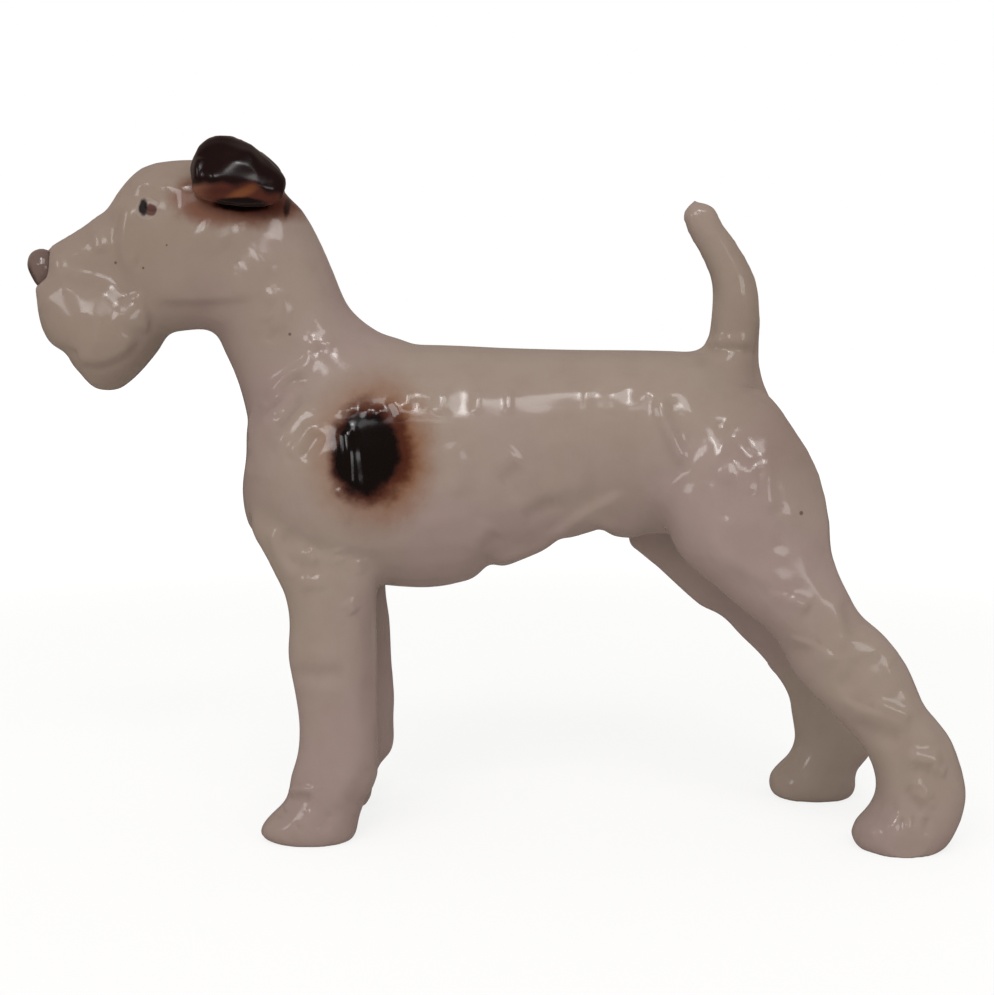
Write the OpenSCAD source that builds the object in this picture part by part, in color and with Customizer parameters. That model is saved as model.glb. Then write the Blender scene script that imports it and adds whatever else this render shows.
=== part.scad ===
/* [Trunk] */
// Length of the trunk, from the forechest to the buttocks
trunk_length = 102.5; // [96:0.5:114]
// Depth of the chest, from the withers to the brisket
chest_depth = 45; // [40:1:48]
// Width of the trunk across the ribs
trunk_width = 35; // [30:1:40]

/* [Neck] */
// How far the nape rises from the root of the neck to the skull
neck_rise = 33; // [29:1:38]
// How far the neck reaches forward over that rise
neck_reach = 25; // [21:1:29]
// Width of the neck under the ears
neck_width = 20; // [18:1:22]

/* [Head] */
// Length of the head, from the back of the skull to the end of the muzzle
head_length = 48; // [44:1:53]
// Depth of the head, from the crown to the underjaw
head_depth = 32; // [29:1:35]
// Width of the skull across the cheeks
head_width = 18.5; // [17:0.5:21]
// Width of the beard
beard_width = 17.5; // [15:0.5:20]
// How far the beard hangs below the middle of the muzzle
beard_drop = 18; // [16:0.5:20]
// Length of the nose button
nose_length = 6; // [5:0.5:7]
// Height of the nose button
nose_height = 8; // [7:0.5:9]
// Width of the nose button
nose_width = 7; // [6:0.5:8]
// Length of the eye pellet
eye_length = 3.8; // [3:0.1:4.4]
// Height of the eye pellet
eye_height = 2.8; // [2.2:0.1:3.2]
// Thickness of the eye pellet
eye_depth = 2.4; // [2:0.1:3]

/* [Ears] */
// Length of a folded ear, from its front edge to its back corner
ear_length = 18; // [15:0.5:20]
// Height of a folded ear
ear_height = 13; // [11:0.5:14]
// Thickness of a folded ear
ear_thickness = 6.5; // [5:0.5:7.5]

/* [Tail] */
// Height of the tail above its joint on the back
tail_height = 26; // [20:1:34]
// Thickness of the tail at its root
tail_root = 9.6; // [8:0.2:11]
// Thickness of the tail near its tip
tail_tip = 5.6; // [4.6:0.2:6.6]

/* [Fore legs] */
// Height of the brisket above the ground
leg_length = 47; // [42:1:54]
// Thickness of a forearm, seen from the side
forearm_depth = 15.2; // [13:0.2:17]
// Width of a forearm, seen from the front
forearm_width = 12.6; // [11:0.2:14]
// Distance between the middles of the fore feet
fore_stance = 22; // [19:1:25]
// How far behind the forechest the forearms stand
fore_setback = 17.4; // [15:0.2:19]
// How far the right fore leg stands behind the left one
fore_stagger = 2; // [0:0.2:3]

/* [Hind legs] */
// Height of the thigh joint above the brisket
thigh_rise = 11; // [9:0.5:12]
// Thickness of a thigh at its joint, seen from the side
thigh_depth = 35; // [31:1:38]
// Width of a thigh, seen from behind
thigh_width = 16; // [14:0.5:18]
// Thickness of a shank, seen from the side
shank_depth = 16.6; // [14:0.2:18]
// Width of a shank, seen from behind
shank_width = 12.4; // [11:0.2:14]
// Distance between the middles of the hind feet
hind_stance = 32; // [29:1:35]
// How far the middle of the left hind foot stands behind the middle of its thigh
hind_reach = 33; // [28:1:37]
// How far the right hind foot stands ahead of the left one
hind_stagger = 10; // [4:0.2:12]

/* [Feet] */
// Length of a foot
foot_length = 18.8; // [17:0.2:21]
// Width of a foot
foot_width = 14; // [12.4:0.2:15.6]
// Height of a foot
foot_height = 7; // [6:0.2:8]

/* [Casting] */
// Wall left by the slip in the hollow castings
wall = 3; // [2.4:0.1:3.6]
// Diameter of the vent hole in the belly
vent_d = 3; // [2:0.2:4]

/* [Hidden] */

glaze = [0.6, 0.53, 0.48];
dark_brown = [0.16, 0.09, 0.07];
nose_brown = [0.3, 0.2, 0.17];

// Facets round a section, and sections from one row of a table to the next
trunk_sides = 28;
limb_sides = 20;
small_sides = 14;
steps = 2;
lock_fn = 14;
bore_fn = 32;

SIDES = ["left", "right"];

back_height = leg_length + chest_depth;
// How far the joints of the fore legs lie below the brisket, as a share of the chest's depth
fore_joint_share = 0.013;
fore_joint_z = leg_length - fore_joint_share * chest_depth;
hind_joint_z = leg_length + thigh_rise;
span = trunk_length + back_height + head_length;

// Each row along the trunk: place along it, top and bottom as shares of the chest's depth, half
// width as a share of half the trunk's width, and squareness of the section
trunk_shares = [
  [0, -0.44, -0.62, 0.16, 2],
  [0.006, -0.34, -0.69, 0.42, 2.1],
  [0.02, -0.24, -0.755, 0.6, 2.1],
  [0.048, -0.13, -0.82, 0.77, 2.2],
  [0.095, -0.04, -0.89, 0.9, 2.2],
  [0.167, 0.008, -0.965, 0.98, 2.3],
  [0.244, 0.018, -1, 1, 2.4],
  [0.331, 0.018, -1.005, 1, 2.4],
  [0.417, 0.012, -0.985, 0.99, 2.3],
  [0.485, 0.004, -0.93, 0.96, 2.2],
  [0.571, -0.002, -0.85, 0.89, 2.2],
  [0.648, -0.005, -0.795, 0.84, 2.3],
  [0.725, -0.006, -0.79, 0.84, 2.3],
  [0.802, -0.01, -0.78, 0.86, 2.3],
  [0.869, -0.02, -0.75, 0.83, 2.2],
  [0.925, -0.07, -0.72, 0.72, 2.1],
  [0.965, -0.14, -0.67, 0.56, 2],
  [0.99, -0.24, -0.58, 0.36, 2],
  [1, -0.36, -0.47, 0.16, 2],
];

// Muscles that swell the trunk sideways: place along it, height as a share of the chest's depth,
// reach along and up as the same shares, and swelling as a share of the width there
muscle_shares = [
  [0.17, -0.5, 0.13, 0.28, 0.12],
  [0.14, -0.82, 0.13, 0.24, 0.22],
  [0.45, -0.45, 0.16, 0.3, 0.04],
  [0.65, -0.62, 0.09, 0.22, -0.1],
  [0.84, -0.36, 0.13, 0.3, 0.1],
];

// Each row up the neck: nape and throat as shares of its reach and rise, half width as a share of
// half its width under the ears, and squareness
neck_root_shares = [0.167, -0.267];
neck_shares = [
  [0.9, 0.22, -0.52, -0.545, 1.4, 2.2],
  [0.66, 0.38, -0.615, -0.303, 1.42, 2.2],
  [0.38, 0.45, -0.645, -0.091, 1.3, 2.1],
  [0.215, 0.55, -0.68, 0.076, 1.14, 2.1],
  [0.06, 0.725, -0.755, 0.25, 1, 2.1],
  [-0.08, 0.965, -0.85, 0.37, 0.93, 2.1],
  [-0.225, 1.16, -0.99, 0.46, 0.88, 2.1],
  [-0.42, 1.29, -1.18, 0.485, 0.8, 2.1],
];
// The joint of the head and the body, as two points on the same shares
neck_joint_shares = [[0.4, 1.15], [-1.26, 0.06]];
poll_shares = [-0.32, 0.909];

// Each row forward along the head: crown and underjaw as shares of its length and depth, half
// width as a share of half its width, and squareness
skull_shares = [
  [0.008, 0.297, -0.07, -0.125, 0.55, 2.1],
  [-0.035, 0.4, -0.14, -0.31, 0.8, 2.2],
  [-0.115, 0.487, -0.235, -0.43, 0.95, 2.3],
  [-0.23, 0.528, -0.335, -0.455, 1, 2.4],
  [-0.365, 0.538, -0.43, -0.46, 0.98, 2.4],
  [-0.48, 0.528, -0.51, -0.49, 0.9, 2.4],
  [-0.568, 0.49, -0.585, -0.52, 0.8, 2.4],
  [-0.635, 0.4, -0.65, -0.5, 0.7, 2.3],
  [-0.698, 0.28, -0.71, -0.48, 0.64, 2.3],
  [-0.79, 0.165, -0.8, -0.44, 0.58, 2.2],
  [-0.885, 0.08, -0.885, -0.4, 0.5, 2.1],
  [-0.95, 0.02, -0.95, -0.35, 0.36, 2.1],
  [-0.975, -0.06, -0.975, -0.25, 0.18, 2],
];

// Each row back along the beard: top and bottom as shares of the head's length and the beard's
// drop below the middle of the muzzle, half width as a share of half its width, and squareness
beard_middle_share = -0.22;
beard_shares = [
  [-0.985, 0.02, -0.985, -0.24, 0.2, 2],
  [-0.965, 0.15, -0.965, -0.44, 0.5, 2.1],
  [-0.915, 0.24, -0.92, -0.64, 0.76, 2.2],
  [-0.83, 0.27, -0.85, -0.86, 0.95, 2.3],
  [-0.745, 0.26, -0.77, -1.03, 1, 2.3],
  [-0.66, 0.21, -0.685, -1.04, 0.97, 2.3],
  [-0.58, 0.06, -0.6, -0.86, 0.86, 2.2],
  [-0.525, -0.2, -0.53, -0.64, 0.6, 2.1],
  [-0.495, -0.34, -0.495, -0.5, 0.25, 2],
];

// Places on the head as shares of its length, half width and depth
eye_shares = [-0.497, 0.86, 0.25];
nose_shares = [-0.965, 0, -0.1];
brow_shares = [[-0.545, 0.45, 0.37], [-0.43, 0.57, 0.36]];
cheek_shares = [[-0.42, 0.44, 0], [-0.22, 0.46, -0.1]];
brow_d = 5;
cheek_d = 10;
ear_shares = [-0.165, 0.98, 0.45];

// Each row forward along the nose button: top and bottom as shares of its length and height, and
// half width as a share of its own
nose_row_shares = [
  [0.5, 0.2, 0.5, -0.3, 0.5],
  [0.25, 0.42, 0.3, -0.46, 0.85],
  [-0.02, 0.5, 0.05, -0.5, 1],
  [-0.28, 0.46, -0.18, -0.4, 0.9],
  [-0.43, 0.34, -0.33, -0.22, 0.64],
  [-0.5, 0.16, -0.45, -0.04, 0.28],
];
// Each row along an eye pellet: place as a share of its length, and section as a share of its size
eye_row_shares = [[-0.5, 0.14], [-0.4, 0.6], [-0.2, 0.92], [0, 1], [0.2, 0.92], [0.4, 0.6], [0.5, 0.14]];

// Each row back along an ear: fold and lower edge as shares of its length and height, how far
// each stands out and the half thickness as shares of its thickness, and squareness
ear_row_shares = [
  [-0.5, 0.03, -0.49, -0.27, -0.1, 0, 0.12, 2],
  [-0.4, 0.34, -0.4, -0.38, -0.3, 0.1, 0.36, 2],
  [-0.2, 0.5, -0.21, -0.46, -0.5, 0.16, 0.5, 2.1],
  [0.02, 0.45, -0.01, -0.5, -0.5, 0.18, 0.52, 2.1],
  [0.22, 0.28, 0.19, -0.51, -0.4, 0.16, 0.46, 2.1],
  [0.39, 0.04, 0.36, -0.47, -0.25, 0.08, 0.32, 2],
  [0.47, -0.19, 0.45, -0.36, -0.1, 0, 0.12, 2],
];

// Each row up the tail: middle as shares of its height, tilt of the row, thickness as shares of
// the root's and the tip's, and squareness
tail_inset = 9.3;
tail_joint_rise = 1.2;
tail_width_share = 0.94;
tail_seat_shares = [
  [-0.02, -0.26, 0, 1.3, 0],
  [-0.01, -0.12, 0, 1.2, 0],
];
tail_shares = [
  [0, 0, 0, 1.07, 0],
  [0, 0.12, 3, 0.98, 0],
  [0.01, 0.28, 6, 0.9, 0],
  [0, 0.42, 12, 0.7, 0.26],
  [-0.055, 0.56, 22, 0.44, 0.56],
  [-0.135, 0.7, 33, 0.2, 0.85],
  [-0.22, 0.82, 38, 0.02, 1.04],
  [-0.285, 0.91, 44, 0, 0.98],
  [-0.325, 0.965, 48, 0, 0.7],
  [-0.345, 0.99, 50, 0, 0.3],
];

// Each row down a leg: middle along and up, tilt of the row, depth, half width and outward place
// as shares of the sizes that its stretch of the leg follows, and squareness
upper_arm_shares = [
  [-0.2, 1.52, 0, 1.2, 0.5, 0.8, 2],
  [-0.19, 1.36, 0, 1.58, 0.85, 0.88, 2.1],
  [-0.1, 1.2, 0, 1.46, 1.05, 0.96, 2.2],
  [-0.02, 1.08, 0, 1.28, 1.12, 1, 2.3],
];
forearm_shares = [
  [0.01, 1, 0, 1.12, 1.1, 1, 2.3],
  [0.03, 0.89, 0, 1.06, 1.04, 1, 2.3],
  [0.04, 0.77, 0, 1.06, 1, 1, 2.3],
  [0.05, 0.63, 0, 1.02, 0.98, 1, 2.3],
  [0.08, 0.49, 0, 0.97, 0.96, 1, 2.3],
  [0.07, 0.36, 0, 0.98, 0.96, 1, 2.3],
  [0.03, 0.245, 0, 1.03, 0.99, 1, 2.3],
];
fore_foot_shares = [
  [-0.08, 1.02, 0, 0.8, 0.9, 1, 2.2],
  [-0.15, 0.72, 0, 0.87, 0.96, 1, 2.2],
  [-0.22, 0.4, 0, 0.93, 1, 1, 2.2],
  [-0.225, 0.14, 0, 0.92, 1, 1, 2.2],
  [-0.22, 0, 0, 0.84, 0.92, 1, 2.2],
];
haunch_shares = [
  [-0.14, 1.48, 30, 0.24, 0.2, 0.42, 2],
  [-0.1, 1.4, 28, 0.54, 0.6, 0.62, 2],
  [-0.045, 1.26, 24, 0.8, 0.88, 0.7, 2.1],
  [-0.02, 1.12, 16, 0.95, 0.98, 0.76, 2.2],
];
thigh_shares = [
  [0, 1, 10, 1, 1.02, 0.8, 2.2],
  [0.115, 0.905, 14, 0.81, 1, 0.84, 2.2],
  [0.235, 0.82, 21, 0.67, 0.96, 0.88, 2.2],
  [0.35, 0.75, 27, 0.57, 0.9, 0.91, 2.2],
];
shank_shares = [
  [0.475, 0.665, 33, 1.07, 1.06, 0.94, 2.2],
  [0.605, 0.605, 38, 1.04, 1.02, 0.96, 2.2],
  [0.755, 0.513, 40, 0.98, 0.98, 0.98, 2.3],
  [0.885, 0.41, 33, 0.87, 0.95, 1, 2.3],
  [1.0, 0.307, 20, 0.91, 0.97, 1, 2.3],
  [1.055, 0.19, 5, 0.98, 1.02, 1, 2.3],
];
hind_foot_shares = [
  [1.025, 0.95, 0, 0.93, 0.94, 1, 2.2],
  [0.98, 0.6, 0, 1, 0.99, 1, 2.2],
  [0.955, 0.28, 0, 0.97, 1, 1, 2.2],
  [0.945, 0, 0, 0.85, 0.93, 1, 2.2],
];

// Locks of the moulded coat, on the trunk's own shares along, across and up: start and end
lock_d = 5.4;
lock_tip_d = 3.4;
body_lock_shares = [
  [[0.5, 0.5, -0.81], [0.45, 0.42, -0.9]],
  [[0.56, 0.48, -0.75], [0.51, 0.4, -0.845]],
  [[0.63, 0.44, -0.7], [0.585, 0.36, -0.775]],
  [[0.045, 0.15, -0.62], [0.06, 0.15, -0.76]],
  [[0.045, 0.4, -0.5], [0.055, 0.4, -0.68]],
];
// Locks of the beard, on the head's length, the beard's half width and its drop: start and end
beard_lock_shares = [
  [[-0.9, 0.5, -0.1], [-0.84, 0.62, -0.62]],
  [[-0.8, 0.58, -0.05], [-0.745, 0.7, -0.74]],
  [[-0.69, 0.58, -0.05], [-0.655, 0.66, -0.72]],
];

// Places along the trunk: the vent, the clear belly behind the fore legs, and the front of the thighs
vent_share = 0.4;
belly_share = 0.4;
thigh_front_share = 0.66;
eye_seat_share = 0.3;

// The way out from the middle on a side: the left is the side of -Y
function out(side) = side == "left" ? -1 : 1;

function power(v, p) = sign(v) * pow(abs(v), p);

function spline(a, b, c, d, t) =
  0.5 * (2 * b + (c - a) * t + (2 * a - 5 * b + 4 * c - d) * pow(t, 2) + (3 * b - a - 3 * c + d) * pow(t, 3));

// Rows between the rows of a table, on a smooth curve through them
function smoothed(rows) =
  let (last = len(rows) - 1)
  concat(
    [
      for (i = [0 : last - 1])
        for (k = [0 : steps - 1])
          spline(rows[max(i - 1, 0)], rows[i], rows[i + 1], rows[min(i + 2, last)], k / steps)
    ],
    [rows[last]]
  );

// A row holds the two ends of the section's long axis, its half width and its squareness
function section(row, sides) =
  let (
    high = [row[0], row[1], row[2]],
    low = [row[3], row[4], row[5]],
    middle = (high + low) / 2,
    half = (high - low) / 2
  )
  [
    for (k = [0 : sides - 1])
      let (turn = 360 * (k + 0.5) / sides)
      middle + half * power(sin(turn), 2 / row[7]) + [0, row[6] * power(cos(turn), 2 / row[7]), 0]
  ];

// Swelling of the trunk at a point by its muscles
function swelling(p) =
  let (along = p[0] / trunk_length, up = (p[2] - back_height) / chest_depth)
  sum([for (m = muscle_shares) m[4] * exp(-pow((along - m[0]) / m[2], 2) - pow((up - m[1]) / m[3], 2))]);

function sum(list, i = 0) = i < len(list) ? list[i] + sum(list, i + 1) : 0;

function swollen(p) = [p[0], p[1] * (1 + swelling(p)), p[2]];

// Closed skin over a list of sections, with its faces outward whichever way the sections run
module skin(sections) {
  sides = len(sections[0]);
  count = len(sections);
  ends = [mean(sections[0]), mean(sections[count - 1])];
  points = concat([for (s = sections) each s], ends);
  quarter = floor(sides / 4);
  run = mean(sections[1]) - mean(sections[0]);
  turn = cross(sections[0][0] - ends[0], sections[0][quarter] - ends[0]);
  outward = run * turn > 0;
  band = [
    for (i = [0 : count - 2])
      for (k = [0 : sides - 1])
        let (
          a = i * sides + k,
          b = i * sides + (k + 1) % sides,
          c = a + sides,
          d = b + sides
        )
        each [[a, b, d], [a, d, c]]
  ];
  caps = [
    for (k = [0 : sides - 1])
      let (n = (k + 1) % sides, base = (count - 1) * sides)
      each [[n, k, count * sides], [base + k, base + n, count * sides + 1]]
  ];
  faces = [for (f = concat(band, caps)) outward ? [f[2], f[1], f[0]] : f];
  polyhedron(points = points, faces = faces, convexity = 6);
}

function mean(list) = sum_points(list) / len(list);
function sum_points(list, i = 0) = i < len(list) ? list[i] + sum_points(list, i + 1) : [0, 0, 0];

// A row drawn in by the wall, for the hollow inside
function inset(row, by) =
  let (
    high = [row[0], row[1], row[2]],
    low = [row[3], row[4], row[5]],
    along = (high - low) / norm(high - low)
  )
  [
    row[0] - by * along[0],
    row[1],
    row[2] - by * along[2],
    row[3] + by * along[0],
    row[4],
    row[5] + by * along[2],
    row[6] - by,
    2,
  ];

function trunk_rows() = [
  for (r = trunk_shares)
    let (x = r[0] * trunk_length)
    [x, 0, back_height + r[1] * chest_depth, x, 0, back_height + r[2] * chest_depth, r[3] * trunk_width / 2, r[4]]
];

neck_root = [neck_root_shares[0] * trunk_length, 0, back_height + neck_root_shares[1] * chest_depth];

function on_neck(along, up) = neck_root + [along * neck_reach, 0, up * neck_rise];

function neck_rows() = [
  for (r = neck_shares)
    let (nape = on_neck(r[0], r[1]), throat = on_neck(r[2], r[3]))
    [nape[0], 0, nape[2], throat[0], 0, throat[2], r[4] * neck_width / 2, r[5]]
];

poll = on_neck(poll_shares[0], poll_shares[1]);

function on_head(shares) = poll + [shares[0] * head_length, shares[1] * head_width / 2, shares[2] * head_depth];

function skull_rows() = [
  for (r = skull_shares)
    let (crown = on_head([r[0], 0, r[1]]), jaw = on_head([r[2], 0, r[3]]))
    [crown[0], 0, crown[2], jaw[0], 0, jaw[2], r[4] * head_width / 2, r[5]]
];

function on_beard(along, across, down) =
  poll + [along * head_length, across * beard_width / 2, beard_middle_share * head_depth + down * beard_drop];

function beard_rows() = [
  for (r = beard_shares)
    let (top = on_beard(r[0], 0, r[1]), bottom = on_beard(r[2], 0, r[3]))
    [top[0], 0, top[2], bottom[0], 0, bottom[2], r[4] * beard_width / 2, r[5]]
];

module beard() {
  skin([for (r = smoothed(beard_rows())) section(r, limb_sides)]);
  for (side = SIDES) {
    for (l = beard_lock_shares) {
      hull() {
        translate(on_beard(l[0][0], out(side) * l[0][1], l[0][2])) sphere(d = lock_d, $fn = lock_fn);
        translate(on_beard(l[1][0], out(side) * l[1][1], l[1][2])) sphere(d = lock_tip_d, $fn = lock_fn);
      }
    }
  }
}

module skull() {
  skin([for (r = smoothed(skull_rows())) section(r, trunk_sides)]);
  for (side = SIDES) {
    for (bump = [[brow_shares, brow_d], [cheek_shares, cheek_d]]) {
      hull() {
        for (place = bump[0]) {
          translate(on_head([place[0], out(side) * place[1], place[2]])) sphere(d = bump[1], $fn = lock_fn);
        }
      }
    }
  }
}

module neck() {
  skin([for (r = smoothed(neck_rows())) section(r, trunk_sides)]);
}

module trunk() {
  skin([for (r = smoothed(trunk_rows())) [for (p = section(r, trunk_sides)) swollen(p)]]);
  for (side = SIDES) {
    for (l = body_lock_shares) {
      hull() {
        translate(on_trunk(l[0], side)) sphere(d = lock_d, $fn = lock_fn);
        translate(on_trunk(l[1], side)) sphere(d = lock_tip_d, $fn = lock_fn);
      }
    }
  }
}

function on_trunk(shares, side) = [
  shares[0] * trunk_length,
  out(side) * shares[1] * trunk_width / 2,
  back_height + shares[2] * chest_depth,
];

// One row of a leg, from its middle, its tilt and its sizes
function leg_row(x, z, tilt, depth, half_width, y, squareness) =
  let (half = depth / 2 * [cos(tilt), 0, sin(tilt)])
  [x + half[0], y, z + half[2], x - half[0], y, z - half[2], half_width, squareness];

function fore_rows(side) =
  let (back = side == "right" ? fore_stagger : 0)
  concat(
    [
      for (r = concat(upper_arm_shares, forearm_shares))
        let (drop = 1 - min(r[1], 1))
        leg_row(
          fore_setback + r[0] * forearm_depth + back * eased(drop),
          r[1] * fore_joint_z,
          r[2],
          r[3] * forearm_depth,
          r[4] * forearm_width / 2,
          out(side) * r[5] * fore_stance / 2,
          r[6]
        )
    ],
    [
      for (r = fore_foot_shares)
        leg_row(
          fore_setback + r[0] * foot_length + back,
          r[1] * foot_height,
          r[2],
          r[3] * foot_length,
          r[4] * foot_width / 2,
          out(side) * r[5] * fore_stance / 2,
          r[6]
        )
    ]
  );

hip_inset = 10.3;

// Share of the stagger taken up at a share of the way down a leg
function eased(drop) = pow(drop, 2) * (3 - 2 * drop);

function hind_rows(side) =
  let (ahead = side == "right" ? hind_stagger : 0, hip_x = trunk_length - hip_inset)
  concat(
    [
      for (stretch = [
        [concat(haunch_shares, thigh_shares), thigh_depth, thigh_width],
        [shank_shares, shank_depth, shank_width],
      ])
        for (r = stretch[0])
          let (drop = 1 - min(r[1], 1))
          leg_row(
            hip_x + r[0] * hind_reach - ahead * eased(drop),
            r[1] * hind_joint_z,
            r[2],
            r[3] * stretch[1],
            r[4] * stretch[2] / 2,
            out(side) * r[5] * hind_stance / 2,
            r[6]
          )
    ],
    [
      for (r = hind_foot_shares)
        leg_row(
          hip_x + r[0] * hind_reach - ahead,
          r[1] * foot_height,
          r[2],
          r[3] * foot_length,
          r[4] * foot_width / 2,
          out(side) * r[5] * hind_stance / 2,
          r[6]
        )
    ]
  );

// A leg's rows from the top of the casting's stub to the joint, or from the joint to the sole
function stub_of(rows, joint_row) = [for (i = [0 : steps * joint_row]) rows[i]];
function limb_of(rows, joint_row) = [for (i = [steps * joint_row : len(rows) - 1]) rows[i]];

fore_joint_row = len(upper_arm_shares);
hind_joint_row = len(haunch_shares);

module stub(rows, joint_row, sides) {
  skin([for (r = stub_of(smoothed(rows), joint_row)) section(r, sides)]);
}

module limb(rows, joint_row, sides) {
  skin([for (r = limb_of(smoothed(rows), joint_row)) section(r, sides)]);
}

tail_foot = [trunk_length - tail_inset, 0, back_height + tail_joint_rise];
tail_joint_row = len(tail_seat_shares);

function tail_rows() = [
  for (r = concat(tail_seat_shares, tail_shares))
    let (thick = r[3] * tail_root + r[4] * tail_tip)
    leg_row(
      tail_foot[0] + r[0] * tail_height,
      tail_foot[2] + r[1] * tail_height,
      r[2],
      thick,
      tail_width_share * thick / 2,
      0,
      2
    )
];

// Wall of the figure's profile, seen from the side, drawn across the whole figure
module across(outline) {
  rotate([90, 0, 0]) linear_extrude(height = span, center = true) polygon(outline);
}

// Everything below the four joints of the legs
module leg_zone() {
  belly = belly_share * trunk_length;
  across([[-span, fore_joint_z], [belly, fore_joint_z], [belly, -span], [-span, -span]]);
  joint = hind_rows("left")[hind_joint_row];
  slope = (joint[2] - joint[5]) / (joint[0] - joint[3]);
  start = thigh_front_share * trunk_length;
  across([
    [start, joint[5] - (joint[3] - start) * slope],
    [span, joint[5] + (span - joint[3]) * slope],
    [span, -span],
    [start, -span],
  ]);
}

// Everything on the head's side of the neck's joint
module head_zone() {
  high = on_neck(neck_joint_shares[0][0], neck_joint_shares[0][1]);
  low = on_neck(neck_joint_shares[1][0], neck_joint_shares[1][1]);
  across([
    [high[0], high[2]],
    [low[0], low[2]],
    [low[0] - span, low[2]],
    [low[0] - span, high[2] + span],
    [high[0], high[2] + span],
  ]);
}

module hollow() {
  trunk_inside = trunk_rows();
  skin([
    for (r = smoothed([for (i = [3 : len(trunk_inside) - 4]) inset(trunk_inside[i], wall)]))
      section(r, limb_sides)
  ]);
  neck_inside = neck_rows();
  skin([
    for (r = smoothed([for (i = [1 : len(neck_inside) - 1]) inset(neck_inside[i], wall)]))
      section(r, limb_sides)
  ]);
  skull_inside = skull_rows();
  skin([
    for (r = smoothed([for (i = [2 : len(skull_inside) - 5]) inset(skull_inside[i], wall)]))
      section(r, limb_sides)
  ]);
}

module vent() {
  translate([vent_share * trunk_length, 0, fore_joint_z - wall])
    cylinder(d = vent_d, h = chest_depth / 2, $fn = bore_fn);
}

// An eye pellet, sunk in the skull by its seat
module eye(side) {
  socket = on_head([eye_shares[0], out(side) * eye_shares[1], eye_shares[2]]);
  place = socket - [0, out(side) * eye_seat_share * eye_depth, 0];
  skin([
    for (r = eye_row_shares)
      let (x = place[0] + r[0] * eye_length, high = r[1] * eye_height / 2)
      section([x, place[1], place[2] + high, x, place[1], place[2] - high, r[1] * eye_depth / 2, 2], small_sides)
  ]);
}

function nose_rows() =
  let (seat = on_head(nose_shares))
  [
    for (r = nose_row_shares)
      [
        seat[0] + r[0] * nose_length,
        seat[1],
        seat[2] + r[1] * nose_height,
        seat[0] + r[2] * nose_length,
        seat[1],
        seat[2] + r[3] * nose_height,
        r[4] * nose_width / 2,
        2,
      ]
  ];

module nose_button() {
  skin([for (r = smoothed(nose_rows())) section(r, small_sides)]);
}

function ear_rows(side) =
  let (seat = on_head([ear_shares[0], out(side) * ear_shares[1], ear_shares[2]]))
  [
    for (r = ear_row_shares)
      [
        seat[0] + r[0] * ear_length,
        seat[1] + out(side) * r[4] * ear_thickness,
        seat[2] + r[1] * ear_height,
        seat[0] + r[2] * ear_length,
        seat[1] + out(side) * r[5] * ear_thickness,
        seat[2] + r[3] * ear_height,
        r[6] * ear_thickness,
        r[7],
      ]
  ];

module ear(side) {
  difference() {
    skin([for (r = smoothed(ear_rows(side))) section(r, small_sides)]);
    skull();
    neck();
    beard();
  }
}

// The frame's origin stands midway between the end of the nose and the back of the rearmost foot
nose_end = on_head(nose_shares)[0] - nose_length / 2;
heel_end = max([for (r = smoothed(hind_rows("left"))) r[0]]);

module placed() {
  translate([-(nose_end + heel_end) / 2, 0, 0]) children();
}

module body_casting() {
  color(glaze) placed() difference() {
    union() {
      difference() {
        trunk();
        leg_zone();
      }
      neck();
      for (side = SIDES) {
        stub(fore_rows(side), fore_joint_row, limb_sides);
        stub(hind_rows(side), hind_joint_row, limb_sides);
      }
      stub(tail_rows(), tail_joint_row, small_sides);
    }
    head_zone();
    hollow();
    vent();
  }
}

module head_casting() {
  color(glaze) placed() difference() {
    intersection() {
      union() {
        neck();
        skull();
        beard();
      }
      head_zone();
    }
    hollow();
    nose_button();
    eye("left");
    eye("right");
  }
}

module ear_left() {
  color(dark_brown) placed() ear("left");
}

module ear_right() {
  color(dark_brown) placed() ear("right");
}

module tail() {
  color(glaze) placed() limb(tail_rows(), tail_joint_row, small_sides);
}

module fore_leg_left() {
  color(glaze) placed() limb(fore_rows("left"), fore_joint_row, limb_sides);
}

module fore_leg_right() {
  color(glaze) placed() limb(fore_rows("right"), fore_joint_row, limb_sides);
}

module hind_leg_left() {
  color(glaze) placed() limb(hind_rows("left"), hind_joint_row, limb_sides);
}

module hind_leg_right() {
  color(glaze) placed() limb(hind_rows("right"), hind_joint_row, limb_sides);
}

module nose() {
  color(nose_brown) placed() nose_button();
}

module eye_left() {
  color(dark_brown) placed() eye("left");
}

module eye_right() {
  color(dark_brown) placed() eye("right");
}

body_casting();
head_casting();
ear_left();
ear_right();
tail();
fore_leg_left();
fore_leg_right();
hind_leg_left();
hind_leg_right();
nose();
eye_left();
eye_right();
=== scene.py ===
import math

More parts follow.
